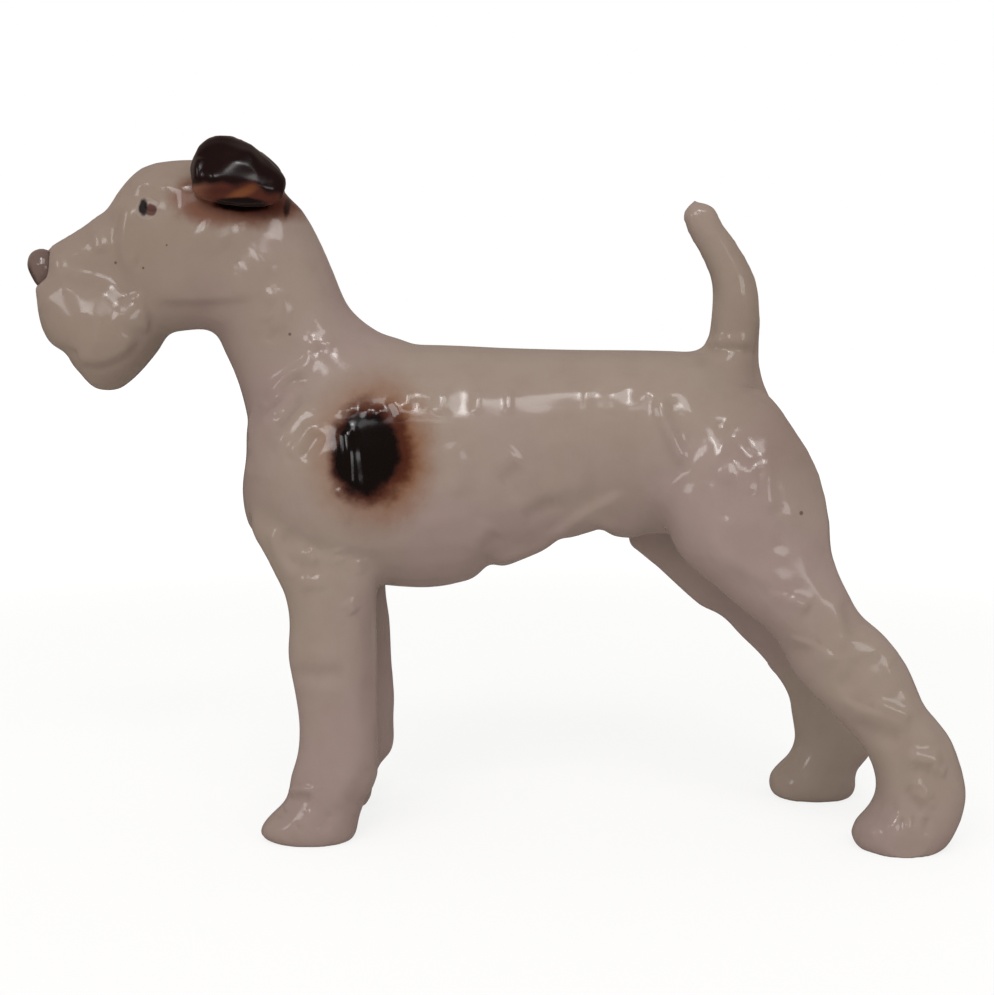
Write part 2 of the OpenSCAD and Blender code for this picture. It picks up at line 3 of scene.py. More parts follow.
import bpy
import numpy as np
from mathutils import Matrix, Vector


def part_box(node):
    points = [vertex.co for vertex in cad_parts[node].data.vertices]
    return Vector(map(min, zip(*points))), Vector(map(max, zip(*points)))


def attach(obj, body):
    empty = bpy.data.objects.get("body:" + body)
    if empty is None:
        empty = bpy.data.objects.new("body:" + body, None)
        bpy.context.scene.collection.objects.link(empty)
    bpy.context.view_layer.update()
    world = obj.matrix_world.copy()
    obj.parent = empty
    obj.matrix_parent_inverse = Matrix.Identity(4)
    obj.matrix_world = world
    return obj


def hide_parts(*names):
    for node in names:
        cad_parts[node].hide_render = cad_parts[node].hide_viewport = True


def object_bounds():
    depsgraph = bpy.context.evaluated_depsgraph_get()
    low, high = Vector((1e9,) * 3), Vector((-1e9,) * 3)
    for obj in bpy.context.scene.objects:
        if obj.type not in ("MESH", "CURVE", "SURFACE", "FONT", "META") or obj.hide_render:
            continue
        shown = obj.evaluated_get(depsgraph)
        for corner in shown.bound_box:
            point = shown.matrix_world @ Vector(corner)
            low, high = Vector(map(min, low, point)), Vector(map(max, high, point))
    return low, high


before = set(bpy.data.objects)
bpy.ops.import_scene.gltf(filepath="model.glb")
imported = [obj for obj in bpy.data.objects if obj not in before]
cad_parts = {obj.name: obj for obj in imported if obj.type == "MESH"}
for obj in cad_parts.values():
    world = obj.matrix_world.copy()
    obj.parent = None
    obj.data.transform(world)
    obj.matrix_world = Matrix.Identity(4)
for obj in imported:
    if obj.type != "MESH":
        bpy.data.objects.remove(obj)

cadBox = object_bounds()
mm = 0.001

# The camera stands where the photograph was taken from, and the strokes are placed through it
cameraSizes = {
    "aim": (0.0009, 0.0, 0.0635),
    "distance": 0.3,
    "tilt": 6.5,  # degrees down
    "lens": 56.5,
    "sensor": 36,
    "nearest": 0.01,
}


# Picking and editing, as by hand
def deselectAll():
    bpy.ops.object.select_all(action="DESELECT")


def pick(obj):
    deselectAll()
    obj.select_set(True)
    bpy.context.view_layer.objects.active = obj


def startEditing():
    bpy.ops.object.mode_set(mode="EDIT")


def stopEditing():
    bpy.ops.object.mode_set(mode="OBJECT")


def newObject(name, data):
    obj = bpy.data.objects.new(name, data)
    bpy.context.scene.collection.objects.link(obj)
    return obj


def copyOf(source, name):
    obj = newObject(name, source.data.copy())
    obj.data.materials.clear()
    return obj


# A working copy of a CAD node, its loose triangles merged
def copyOfNode(node, name, mergeDistance=0.002 * mm):
    obj = copyOf(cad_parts[node], name)
    pick(obj)
    startEditing()
    bpy.ops.mesh.select_all(action="SELECT")
    bpy.ops.mesh.remove_doubles(threshold=mergeDistance)
    stopEditing()
    return obj


def applyModifier(obj, kind, **settings):
    pick(obj)
    modifier = obj.modifiers.new(kind.lower(), kind)
    for name, value in settings.items():
        setattr(modifier, name, value)
    bpy.ops.object.modifier_apply(modifier=modifier.name)


# What each item of a mesh holds, as a row of three
def rowsOf(items, name):
    values = np.empty(len(items) * 3, np.float32)
    items.foreach_get(name, values)
    return values.reshape(-1, 3).astype(float)


# Points in millimetres
def pointsOf(obj):
    return rowsOf(obj.data.vertices, "co") / mm


def movePoints(obj, points):
    obj.data.vertices.foreach_set("co", (points * mm).astype(np.float32).ravel())
    obj.data.update()


def normalsOf(obj):
    return rowsOf(obj.data.vertex_normals, "vector")


def within(points, low, high):
    return ((points > low) & (points < high)).all(axis=1)


def smoothStep(values, low, high):
    share = np.clip((values - low) / (high - low), 0, 1)
    return share * share * (3 - 2 * share)


# Evens out a skin: each point moves in towards its neighbours, and back out where the volume
# is kept
relaxMoves = {"in": 0.5, "out": -0.53}


def relax(obj, rounds, weight=None, keepVolume=True):
    points = pointsOf(obj)
    pairs = np.empty(len(obj.data.edges) * 2, np.int64)
    obj.data.edges.foreach_get("vertices", pairs)
    first, second = pairs.reshape(-1, 2).T
    moving = np.arange(len(points)) if weight is None else np.flatnonzero(weight > 0)
    share = 1.0 if weight is None else weight[moving][:, None]
    place = np.full(len(points), -1)
    place[moving] = np.arange(len(moving))
    ends = np.concatenate([place[first], place[second]])
    others = np.concatenate([second, first])[ends >= 0]
    ends = ends[ends >= 0]
    neighbours = np.bincount(ends, minlength=len(moving))[:, None]
    moves = ("in", "out") if keepVolume else ("in",)
    for turn in range(rounds):
        for move in moves:
            sums = [np.bincount(ends, points[others, axis], len(moving)) for axis in range(3)]
            middle = np.stack(sums, axis=1) / neighbours
            points[moving] += relaxMoves[move] * share * (middle - points[moving])
    movePoints(obj, points)


# The plane of the ring that two neighbouring castings share: its middle, and its normal
# towards the second of them
def jointPlane(nodeA, nodeB):
    rings = []
    for node in (nodeA, nodeB):
        rings.append({tuple(p) for p in np.round(pointsOf(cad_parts[node]), 3)})
    ring = np.array(sorted(rings[0] & rings[1]))
    middle = ring.mean(axis=0)
    normal = np.linalg.svd(ring - middle)[2][2]
    towards = pointsOf(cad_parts[nodeB]).mean(axis=0) - middle
    return middle, normal * np.sign(normal @ towards)


# The skin: all the castings fused into one glazed surface, as they leave the kiln. A plug closes
# the vent in the belly.
skinSizes = {
    "voxel": 0.95 * mm,
    "rounds": 60,
    "plugSides": 32,
    "plugRadius": 4 * mm,
    "plugDepth": 2 * mm,
    "plugHeight": 2.5 * mm,  # over the belly's lowest point
    "plugPlace": 0.395,  # share of the trunk's length
}
castings = [
    "body_casting", "head_casting", "tail",
    "fore_leg_left", "fore_leg_right", "hind_leg_left", "hind_leg_right",
]


def fusedSkin():
    parts = [copyOfNode(node, "clay." + node) for node in castings]
    low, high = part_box("body_casting")
    plugX = low[0] + skinSizes["plugPlace"] * (high[0] - low[0])
    bpy.ops.mesh.primitive_cylinder_add(
        vertices=skinSizes["plugSides"],
        radius=skinSizes["plugRadius"],
        depth=skinSizes["plugDepth"],
        location=(plugX, 0, low[2] + skinSizes["plugHeight"]),
    )
    parts.append(bpy.context.object)
    deselectAll()
    for part in parts:
        part.select_set(True)
    bpy.context.view_layer.objects.active = parts[0]
    bpy.ops.object.join()
    skin = parts[0]
    skin.name = "skin"
    applyModifier(skin, "REMESH", mode="VOXEL", voxel_size=skinSizes["voxel"])
    relax(skin, skinSizes["rounds"])
    applyModifier(skin, "SUBSURF", levels=1, render_levels=1)
    return skin


# The seams where the skin is parted again, so that each casting is its own piece (in millimetres)
seamSizes = {
    "band": 2.0,
    "reach": 3.0,
    "merge": 0.00001,
}
partings = {
    "head.glazed": "head_casting",
    "tail.glazed": "tail",
    "foreLegLeft.glazed": "fore_leg_left",
    "foreLegRight.glazed": "fore_leg_right",
    "hindLegLeft.glazed": "hind_leg_left",
    "hindLegRight.glazed": "hind_leg_right",
}


def boxOf(node, reach=0.0):
    low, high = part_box(node)
    return np.array(low) / mm - reach, np.array(high) / mm + reach


def faceCentres(obj):
    return rowsOf(obj.data.polygons, "center") / mm


def pickFaces(obj, chosen):
    pick(obj)
    bpy.context.tool_settings.mesh_select_mode = (False, False, True)
    startEditing()
    bpy.ops.mesh.select_all(action="DESELECT")
    stopEditing()
    obj.data.polygons.foreach_set("select", chosen)
    startEditing()


def keepNormals(obj):
    attribute = obj.data.attributes.new("skinNormal", "FLOAT_VECTOR", "POINT")
    attribute.data.foreach_set("vector", normalsOf(obj).astype(np.float32).ravel())


# How deep each point lies in a groove: 1 in the grooves, 0 on the crests; the colour is made darker
# there
grooveSizes = {"depth": 0.16, "rounds": 6}


def keepGrooveDepth(obj):
    points = pointsOf(obj)
    evened = copyOf(obj, "evened")
    relax(evened, grooveSizes["rounds"], keepVolume=False)
    hollow = ((pointsOf(evened) - points) * normalsOf(obj)).sum(axis=1)
    bpy.data.objects.remove(evened)
    attribute = obj.data.attributes.new("grooveDepth", "FLOAT", "POINT")
    values = np.clip(0.5 + hollow / grooveSizes["depth"] / 2, 0, 1)
    attribute.data.foreach_set("value", values.astype(np.float32))


def partSkin(skin):
    keepNormals(skin)
    keepGrooveDepth(skin)
    regions = []
    for node in partings.values():
        middle, normal = jointPlane("body_casting", node)
        low, high = boxOf(node, seamSizes["reach"])
        centres = faceCentres(skin)
        near = np.abs((centres - middle) @ normal) < seamSizes["band"]
        near &= within(centres, low, high)
        pickFaces(skin, near)
        merge = seamSizes["merge"] * mm
        bpy.ops.mesh.bisect(plane_co=middle * mm, plane_no=normal, threshold=merge)
        stopEditing()
        regions.append((middle, normal, low, high))
    centres = faceCentres(skin)
    labels = np.zeros(len(centres), int)
    for index, (middle, normal, low, high) in enumerate(regions, 1):
        beyond = (centres - middle) @ normal > 0
        labels[beyond & within(centres, low, high)] = index
    pieces = {}
    for index, name in enumerate(["body.glazed", *partings]):
        pieces[name] = cutOut(skin, labels != index, name)
    bpy.data.objects.remove(skin)
    return pieces


# One casting's share of the skin, closed flat where it meets its neighbours. Its skin keeps the
# normals from before the cut, so no seam shows.
def cutOut(skin, others, name):
    piece = copyOf(skin, name)
    pickFaces(piece, others)
    bpy.ops.mesh.delete(type="FACE")
    stopEditing()
    skinFaces = len(piece.data.polygons)
    bpy.context.tool_settings.mesh_select_mode = (False, True, False)
    startEditing()
    bpy.ops.mesh.select_all(action="DESELECT")
    bpy.ops.mesh.select_non_manifold(
        extend=False, use_wire=False, use_multi_face=False, use_non_contiguous=False,
        use_verts=False)
    bpy.ops.mesh.fill_holes(sides=0)
    bpy.ops.mesh.select_all(action="SELECT")
    bpy.ops.mesh.normals_make_consistent(inside=False)
    stopEditing()
    mesh = piece.data
    smooth = np.ones(len(mesh.polygons), bool)
    smooth[skinFaces:] = False
    mesh.polygons.foreach_set("use_smooth", smooth)
    normals = rowsOf(mesh.attributes["skinNormal"].data, "vector").astype(np.float32)
    corners = np.empty(len(mesh.loops), np.int64)
    mesh.loops.foreach_get("vertex_index", corners)
    totals = np.empty(len(mesh.polygons), np.int64)
    mesh.polygons.foreach_get("loop_total", totals)
    cornerNormals = normals[corners]
    cornerNormals /= np.linalg.norm(cornerNormals, axis=1)[:, None]
    cornerNormals[np.repeat(~smooth, totals)] = 0
    mesh.attributes.remove(mesh.attributes["skinNormal"])
    mesh.normals_split_custom_set(cornerNormals.tolist())
    return piece


# A small pressed piece, from a merged copy of its node
def pressed(node, name, sizes):
    piece = copyOfNode(node, name)
    applyModifier(piece, "REMESH", mode="VOXEL", voxel_size=sizes["voxel"])
    relax(piece, sizes["rounds"])
    applyModifier(piece, "SUBSURF", levels=1, render_levels=1)
    pick(piece)
    bpy.ops.object.shade_smooth()
    return piece


# The photograph's frame, all in its pixels
pictureSizes = {"across": 994, "down": 995, "focal": 1560.0}
pixel = 5.2  # pixels to a millimetre at the figure's middle


# Where points show in the picture
def pictured(points):
    tilt = math.radians(cameraSizes["tilt"])
    forward = np.array([0, math.cos(tilt), -math.sin(tilt)])
    upward = np.array([0, math.sin(tilt), math.cos(tilt)])
    eye = (np.array(cameraSizes["aim"]) - forward * cameraSizes["distance"]) / mm
    away = points - eye
    depth = away @ forward
    u = pictureSizes["across"] / 2 + pictureSizes["focal"] * away[:, 0] / depth
    v = pictureSizes["down"] / 2 - pictureSizes["focal"] * (away @ upward) / depth
    return np.stack([u, v], axis=1)


# A line with its corners cut twice, so that it runs round
def rounded(line, rounds=2):
    line = np.array(line, float)
    if len(line) < 3:
        return line
    for turn in range(rounds):
        cut = [line[0]]
        for start, end in zip(line[:-1], line[1:]):
            cut += [0.75 * start + 0.25 * end, 0.25 * start + 0.75 * end]
        line = np.array(cut + [line[-1]])
    return line


# Distance of each point from a line, its side (1 on the right of the line's run) and how far
# along it is
def beside(points, line):
    lengths = np.linalg.norm(np.diff(line, axis=0), axis=1)
    before = np.concatenate([[0], np.cumsum(lengths)])
    best = np.full(len(points), np.inf)
    sign = np.ones(len(points))
    along = np.zeros(len(points))
    for index, (start, end) in enumerate(zip(line[:-1], line[1:])):
        run = end - start
        share = np.clip((points - start) @ run / (run @ run + 1e-9), 0, 1)
        gap = points - start - share[:, None] * run
        distance = np.linalg.norm(gap, axis=1)
        nearer = distance < best
        best[nearer] = distance[nearer]
        sign[nearer] = np.where(run[0] * gap[nearer, 1] - run[1] * gap[nearer, 0] > 0, 1, -1)
        along[nearer] = (before[index] + share[nearer] * lengths[index]) / before[-1]
    return best, sign, along


# Modelling strokes: kind, width and height in millimetres, then the line over the near side as
# the photograph shows it, in its pixels. The far side gets the same strokes mirrored. A dab
# stands on one point, and a lock is a ridge that is steep on its left. Broad pushes come first.
formPushes = [
    ("dab", 7.0, -1.0, [(222, 218)]),
    ("dab", 7.0, 0.4, [(236, 290)]),
    ("dab", 5.5, 0.9, [(92, 340)]),
    ("dab", 4.0, 0.15, [(88, 306)]),
    ("dab", 4.0, 0.5, [(132, 318)]),
    ("dab", 9.0, -1.8, [(732, 392)]),
    ("dab", 10.0, 1.2, [(748, 500)]),
    ("dab", 6.0, -0.9, [(290, 372)]),
    ("dab", 7.0, 0.5, [(288, 476)]),
    ("dab", 5.0, -0.6, [(622, 505)]),
    ("dab", 6.0, 0.4, [(560, 470)]),
    ("dab", 7.0, 0.5, [(450, 500)]),
]
faceStrokes = [
    ("lock", 5.0, 0.8, [(144, 334), (132, 352), (114, 363), (90, 367), (70, 354)]),
    ("groove", 1.0, 0.7, [(145, 334), (133, 353), (114, 365), (90, 369), (72, 357)]),
    ("lock", 3.0, 0.6, [(134, 290), (143, 306), (146, 320), (144, 336)]),
    ("ridge", 1.6, 0.6, [(108, 228), (119, 211), (127, 207), (126, 225), (125, 247), (129, 262),
                         (135, 272), (142, 265)]),
    ("ridge", 1.5, 0.4, [(94, 226), (99, 238), (102, 254)]),
    ("dab", 2.8, -0.3, [(150, 182)]),
    ("dab", 2.0, 0.28, [(146, 208)]),
    ("lock", 5.5, 0.7, [(262, 290), (240, 295), (200, 297), (150, 296)]),
    ("ridge", 1.5, 0.22, [(179, 180), (182, 192), (180, 204), (184, 222)]),
    ("ridge", 1.5, 0.35, [(57, 250), (60, 268), (66, 296)]),
    ("ridge", 1.8, 0.2, [(112, 314), (126, 321), (138, 304)]),
    ("ridge", 2.4, 0.3, [(198, 226), (212, 236), (226, 250)]),
    ("ridge", 2.6, 0.35, [(240, 220), (248, 242), (262, 266), (278, 276)]),
    ("ridge", 1.6, 0.45, [(262, 304), (276, 294), (283, 300), (281, 316), (275, 336)]),
    ("groove", 1.5, 0.3, [(266, 316), (270, 330), (268, 345)]),
]
neckStrokes = [
    ("ridge", 1.2, 0.5, [(266, 402), (276, 388), (288, 376), (314, 362)]),
    ("groove", 1.4, 0.4, [(266, 410), (280, 396), (304, 374)]),
    ("ridge", 1.2, 0.45, [(266, 416), (280, 408), (288, 392), (303, 383)]),
    ("groove", 1.4, 0.45, [(270, 430), (286, 414), (304, 392)]),
    ("ridge", 1.9, 0.6, [(272, 453), (288, 434), (304, 410), (316, 395)]),
    ("groove", 1.3, 0.5, [(282, 455), (294, 438), (310, 414)]),
    ("ridge", 1.7, 0.6, [(287, 457), (298, 440), (315, 419)]),
    ("groove", 1.5, 0.35, [(300, 460), (312, 444), (320, 430)]),
    ("ridge", 2.0, 0.3, [(258, 438), (262, 462), (262, 486)]),
    ("dab", 1.3, 0.35, [(313, 344)]),
    ("dab", 1.2, -0.3, [(319, 350)]),
    ("dab", 1.3, 0.35, [(328, 344)]),
    ("dab", 1.3, 0.3, [(309, 358)]),
    ("ridge", 1.3, 0.5, [(273, 524), (277, 548), (284, 562), (298, 582)]),
    ("groove", 1.5, 0.35, [(282, 528), (287, 548), (294, 560), (306, 576)]),
    ("ridge", 1.2, 0.45, [(307, 548), (317, 564)]),
    ("ridge", 1.2, 0.35, [(303, 576), (310, 590)]),
    ("ridge", 1.2, 0.35, [(316, 576), (321, 590)]),
    ("ridge", 1.3, 0.45, [(347, 599), (356, 613)]),
    ("ridge", 1.3, 0.3, [(336, 546), (341, 564)]),
    ("ridge", 1.3, 0.3, [(357, 558), (361, 574)]),
    ("ridge", 1.1, 0.45, [(336, 486), (343, 505), (350, 526)]),
    ("ridge", 1.4, 0.7, [(345, 420), (349, 452), (352, 500)]),
    ("dab", 1.0, 0.3, [(341, 410)]),
    ("dab", 1.0, 0.3, [(351, 409)]),
    ("dab", 1.1, 0.3, [(368, 411)]),
    ("dab", 1.0, 0.3, [(380, 412)]),
    ("ridge", 1.0, 0.3, [(390, 398), (400, 410), (402, 420)]),
    ("lock", 5.0, 0.4, [(384, 560), (330, 562), (280, 548), (262, 520)]),
]
flankStrokes = [
    ("groove", 1.8, 0.4, [(498, 484), (509, 478), (521, 464)]),
    ("ridge", 2.4, 0.3, [(494, 474), (506, 466), (519, 452)]),
    ("groove", 1.8, 0.4, [(521, 521), (536, 510), (560, 500)]),
    ("ridge", 2.6, 0.5, [(510, 520), (530, 502), (560, 488), (596, 484)]),
    ("lock", 4.5, 0.8, [(548, 540), (570, 524), (598, 505), (630, 493)]),
    ("groove", 1.8, 0.35, [(500, 532), (488, 548), (478, 560)]),
    ("ridge", 2.0, 0.3, [(490, 520), (480, 540), (472, 556)]),
    ("ridge", 2.4, 0.3, [(448, 440), (456, 470), (452, 500)]),
    ("groove", 2.4, 0.25, [(470, 440), (478, 470), (474, 505)]),
    ("dab", 2.2, -0.2, [(462, 402)]),
    ("ridge", 0.8, 0.22, [(478, 386), (477, 402), (476, 416)]),
    ("ridge", 0.8, 0.22, [(508, 386), (509, 402), (508, 416)]),
    ("groove", 2.0, 0.07, [(515, 402), (547, 405), (581, 404)]),
    ("ridge", 0.8, 0.18, [(588, 386), (586, 402), (588, 416)]),
    ("ridge", 2.0, 0.22, [(610, 388), (614, 402), (612, 416)]),
    ("dab", 1.4, -0.14, [(628, 396)]),
    ("ridge", 1.4, 0.24, [(440, 386), (442, 402), (440, 416)]),
    ("dab", 1.2, -0.16, [(418, 403)]),
    ("ridge", 0.8, 0.2, [(408, 388), (406, 410)]),
]
haunchStrokes = [
    ("ridge", 1.3, 0.8, [(660, 388), (662, 417), (670, 433), (679, 454), (689, 471)]),
    ("groove", 1.8, 0.3, [(670, 393), (674, 412), (682, 428), (692, 450)]),
    ("dab", 1.3, 0.3, [(647, 393)]),
    ("groove", 1.3, 0.4, [(720, 416), (725, 440), (720, 468)]),
    ("groove", 1.3, 0.4, [(732, 428), (742, 450), (758, 462)]),
    ("groove", 1.5, 0.45, [(728, 474), (728, 500), (722, 524)]),
    ("ridge", 1.2, 0.4, [(717, 484), (720, 466), (729, 458), (738, 466), (737, 500)]),
    ("ridge", 1.2, 0.35, [(752, 466), (751, 496)]),
    ("ridge", 1.3, 0.45, [(769, 450), (766, 472), (765, 490), (774, 516)]),
    ("groove", 1.2, 0.35, [(758, 466), (757, 500)]),
    ("dab", 2.2, 0.4, [(788, 516)]),
    ("groove", 1.6, 0.25, [(778, 500), (784, 530), (776, 556)]),
    ("ridge", 2.6, 0.4, [(700, 524), (722, 552), (760, 578), (800, 596)]),
    ("groove", 2.2, 0.35, [(720, 568), (760, 590), (796, 612)]),
    ("lock", 2.4, 0.5, [(764, 592), (790, 598), (812, 610)]),
]
shankStrokes = [
    ("groove", 1.8, 0.4, [(788, 646), (806, 650), (826, 648)]),
    ("lock", 2.4, 0.5, [(786, 636), (806, 642), (822, 650), (840, 664)]),
    ("ridge", 1.6, 0.35, [(834, 592), (838, 612), (842, 632), (838, 652)]),
    ("groove", 1.6, 0.3, [(846, 596), (850, 616), (852, 642)]),
    ("groove", 1.6, 0.35, [(854, 654), (858, 672), (846, 684), (832, 684)]),
    ("lock", 2.2, 0.6, [(838, 696), (856, 706), (880, 714), (914, 728)]),
    ("ridge", 1.1, 0.6, [(872, 702), (886, 708), (913, 719)]),
    ("ridge", 1.3, 0.35, [(788, 598), (800, 601), (810, 607)]),
    ("groove", 2.0, 0.4, [(848, 720), (868, 732), (886, 738), (906, 736)]),
    ("lock", 2.0, 0.45, [(903, 754), (922, 762), (944, 760)]),
    ("groove", 1.4, 0.3, [(910, 766), (926, 771), (942, 768)]),
    ("ridge", 1.1, 0.6, [(906, 750), (920, 756), (942, 757)]),
    ("ridge", 1.1, 0.55, [(930, 766), (946, 773)]),
    ("ridge", 1.1, 0.55, [(910, 780), (918, 788), (930, 800)]),
    ("lock", 1.6, 0.5, [(908, 788), (920, 796), (936, 806)]),
    ("groove", 1.5, 0.3, [(904, 784), (914, 798), (928, 810)]),
    ("ridge", 2.2, 0.35, [(862, 622), (880, 642), (896, 668)]),
    ("groove", 2.0, 0.3, [(870, 650), (884, 676), (906, 700)]),
    ("ridge", 2.0, 0.3, [(880, 660), (900, 690), (924, 722)]),
    ("dab", 4.0, 0.9, [(904, 847)]),
    ("dab", 1.7, 0.55, [(891, 824)]),
    ("groove", 0.9, 0.4, [(903, 815), (900, 836)]),
    ("ridge", 0.9, 0.35, [(908, 814), (906, 838)]),
    ("groove", 0.9, 0.4, [(913, 812), (911, 838)]),
    ("ridge", 1.0, 0.45, [(919, 812), (916, 836)]),
    ("groove", 1.0, 0.35, [(926, 814), (921, 838)]),
    ("groove", 1.6, 0.3, [(866, 800), (882, 808), (900, 808)]),
    ("dab", 1.2, 0.35, [(872, 832)]),
]
foreLegStrokes = [
    ("groove", 1.8, 0.4, [(290, 666), (300, 674), (326, 677), (351, 672)]),
    ("ridge", 2.4, 0.3, [(296, 654), (320, 660), (346, 656)]),
    ("ridge", 2.0, 0.2, [(298, 688), (320, 690), (344, 684)]),
    ("lock", 1.8, 0.6, [(286, 792), (300, 788), (318, 789)]),
    ("groove", 1.2, 0.45, [(288, 797), (302, 798), (314, 796)]),
    ("groove", 1.0, 0.35, [(296, 829), (304, 820), (310, 810)]),
    ("ridge", 1.1, 0.5, [(300, 828), (307, 816), (312, 810)]),
    ("groove", 1.2, 0.35, [(277, 818), (286, 808)]),
    ("groove", 1.3, 0.3, [(318, 832), (326, 820), (330, 810)]),
    ("groove", 2.4, 0.45, [(374, 600), (372, 680), (368, 740)]),
    ("groove", 2.0, 0.5, [(374, 760), (362, 788), (352, 812)]),
    ("ridge", 2.0, 0.25, [(352, 770), (342, 790), (338, 812)]),
]
tailStrokes = [
    ("groove", 1.0, 0.35, [(702, 352), (716, 348), (740, 349), (758, 356)]),
    ("dab", 1.0, 0.35, [(711, 344)]),
    ("dab", 1.0, 0.35, [(719, 341)]),
    ("dab", 1.0, 0.35, [(730, 341)]),
    ("dab", 1.1, 0.35, [(742, 342)]),
]
earStrokes = [
    ("lock", 2.6, 0.4, [(290, 196), (276, 194), (264, 190), (254, 186), (240, 185), (224, 188),
                        (208, 187), (192, 190)]),
    ("groove", 2.0, 0.5, [(196, 196), (213, 196), (240, 197), (262, 200), (284, 203)]),
    ("ridge", 2.8, 0.8, [(204, 186), (212, 179), (226, 169), (242, 161), (264, 153)]),
    ("ridge", 0.9, 0.4, [(197, 184), (197, 170), (202, 156)]),
]


strokeSizes = {
    "taper": 0.22,  # share of a stroke in which it fades in, and out again
    "steepness": 4,  # of a lock's left side
    "reach": 3,  # widths from its line where a stroke ends
    "facing": (0.05, 0.4),  # how far the skin has to face the camera
    "behind": 12,  # millimetres behind the far legs that move with them
}


# How far one stroke pushes each point out, from the point's place in the picture
def pushOf(kind, width, height, line, places):
    reach = width * pixel
    if kind == "dab":
        share = np.linalg.norm(places - line[0], axis=1) / reach
        return height * np.exp(-share ** 2)
    distance, sign, along = beside(places, rounded(line))
    taper = strokeSizes["taper"]
    fading = smoothStep(along, 0.0, taper) * smoothStep(1 - along, 0.0, taper)
    share = distance / reach
    if kind == "lock":
        share = np.where(sign > 0, share, share * strokeSizes["steepness"])
    push = np.exp(-share ** 2) * fading * height
    return -push if kind == "groove" else push


# The far legs don't stand level with the near ones, so the near ones' strokes move with them
staggers = [
    {"node": "fore_leg_right", "below": (46.0, 34.0), "shift": -2.0},
    {"node": "hind_leg_right", "below": (60.0, 34.0), "shift": 10.0},
]


# The near thigh's front edge stands behind the far one's, which shows ahead of it
thighSizes = {
    "tuck": 5.8,
    "edge": (28.0, 55.3, 1.1),  # its place, the height where it starts to lean, and its lean
    "span": 20.0,
    "ease": 0.05,
    "heights": (28.0, 42.0, 55.0, 68.0),
    "sides": (3.5, 8.0),
    "run": (2.0, 24.0),
}


def tuckNearThigh(skin):
    points = pointsOf(skin)
    x, y, z = points.T
    low, lower, upper, top = thighSizes["heights"]
    edge, height, lean = thighSizes["edge"]
    behind = (x - edge - lean * np.maximum(height - z, 0)) / thighSizes["span"]
    share = smoothStep(z, low, lower) * smoothStep(-z, -top, -upper)
    share *= (smoothStep(-behind, -1, thighSizes["ease"])
              * smoothStep(-y, *thighSizes["sides"])
              * smoothStep(x, *thighSizes["run"]))
    points[:, 0] += thighSizes["tuck"] * share
    movePoints(skin, points)


# Shifts that carry the skin to the photograph's outline: along which line, how far and how wide,
# in picture pixels, then the side they are on: 1 for the far side, -1 for the near one, 0 for both
sideFade = 6.0  # millimetres in which a shift on one side fades in
outlineShifts = [
    ([(64, 358)], (5.0, -5.0), 14, 0),
    ([(74, 357)], (2.5, -2.5), 6, 0),
    ([(78, 374)], (2.5, -2.5), 14, 0),
    ([(36, 286)], (-4.0, 0.0), 8, 0),
    ([(112, 213)], (2.0, 2.0), 12, 0),
    ([(213, 338)], (4.0, -4.0), 16, 0),
    ([(243, 455)], (4.5, 0.0), 26, 0),
    ([(252, 535)], (-4.5, 0.0), 20, 0),
    ([(350, 306)], (-2.5, 2.5), 24, 0),
    ([(430, 586)], (0.0, 2.5), 30, 0),
    ([(488, 572)], (0.0, -8.0), 13, 0),
    ([(566, 544), (594, 538)], (0.0, -8.0), 16, 0),
    ([(616, 530), (630, 533)], (0.0, 3.5), 11, 0),
    ([(640, 542), (664, 566), (702, 598)], (-6.0, 7.0), 22, 1),
    ([(796, 716)], (-5.0, 0.0), 20, 1),
    ([(864, 772)], (-9.0, 0.0), 16, 1),
    ([(382, 764), (372, 796)], (-6.0, 0.0), 13, 1),
    ([(389, 620), (390, 690)], (3.0, 0.0), 24, 1),
    ([(291, 655)], (-3.0, 0.0), 24, -1),
    ([(295, 775)], (-3.0, 0.0), 18, -1),
    ([(266, 834)], (-4.0, 0.0), 12, -1),
    ([(932, 700)], (-3.5, 2.0), 26, -1),
    ([(803, 432)], (-3.0, 2.0), 32, 0),
    ([(757, 320)], (3.0, 0.0), 26, 0),
    ([(712, 208)], (4.0, -2.0), 12, 0),
]
earShifts = [
    ([(208, 145), (222, 140)], (-0.5, -2.5), 15, 0),
    ([(191, 182)], (3.0, 0.0), 12, 0),
    ([(294, 192)], (-12.0, 0.0), 18, 1),
    ([(285, 178)], (2.5, -1.5), 12, -1),
]


def shiftOutline(piece, shifts):
    points = pointsOf(piece)
    places = pictured(points)
    depth = points[:, 1].copy()
    for line, move, reach, side in shifts:
        if len(line) > 1:
            distance, sign, along = beside(places, rounded(line))
        else:
            distance = np.linalg.norm(places - line[0], axis=1)
        share = np.exp(-(distance / reach) ** 2)
        if side:
            share *= smoothStep(depth * side, 0.0, sideFade)
        points[:, 0] += share * move[0] / pixel
        points[:, 2] -= share * move[1] / pixel
    movePoints(piece, points)


# The tail's end is a plain dome: what stands out of it is drawn in
tipSizes = {
    "middle": (39.4, 0.0, 116.6),
    "upward": (-0.5, 0.0, 0.87),
    "radius": 3.3,
    "reach": 2,  # radii
    "keep": 0.1,  # share of what stands out that is left
}


def roundTip(skin):
    points = pointsOf(skin)
    away = points - tipSizes["middle"]
    distance = np.linalg.norm(away, axis=1)
    radius = tipSizes["radius"]
    outside = (distance > radius) & (distance < tipSizes["reach"] * radius)
    outside &= away @ tipSizes["upward"] > 0
    drawn = radius + tipSizes["keep"] * (distance - radius)
    points[outside] = tipSizes["middle"] + away[outside] * (drawn / distance)[outside, None]
    movePoints(skin, points)


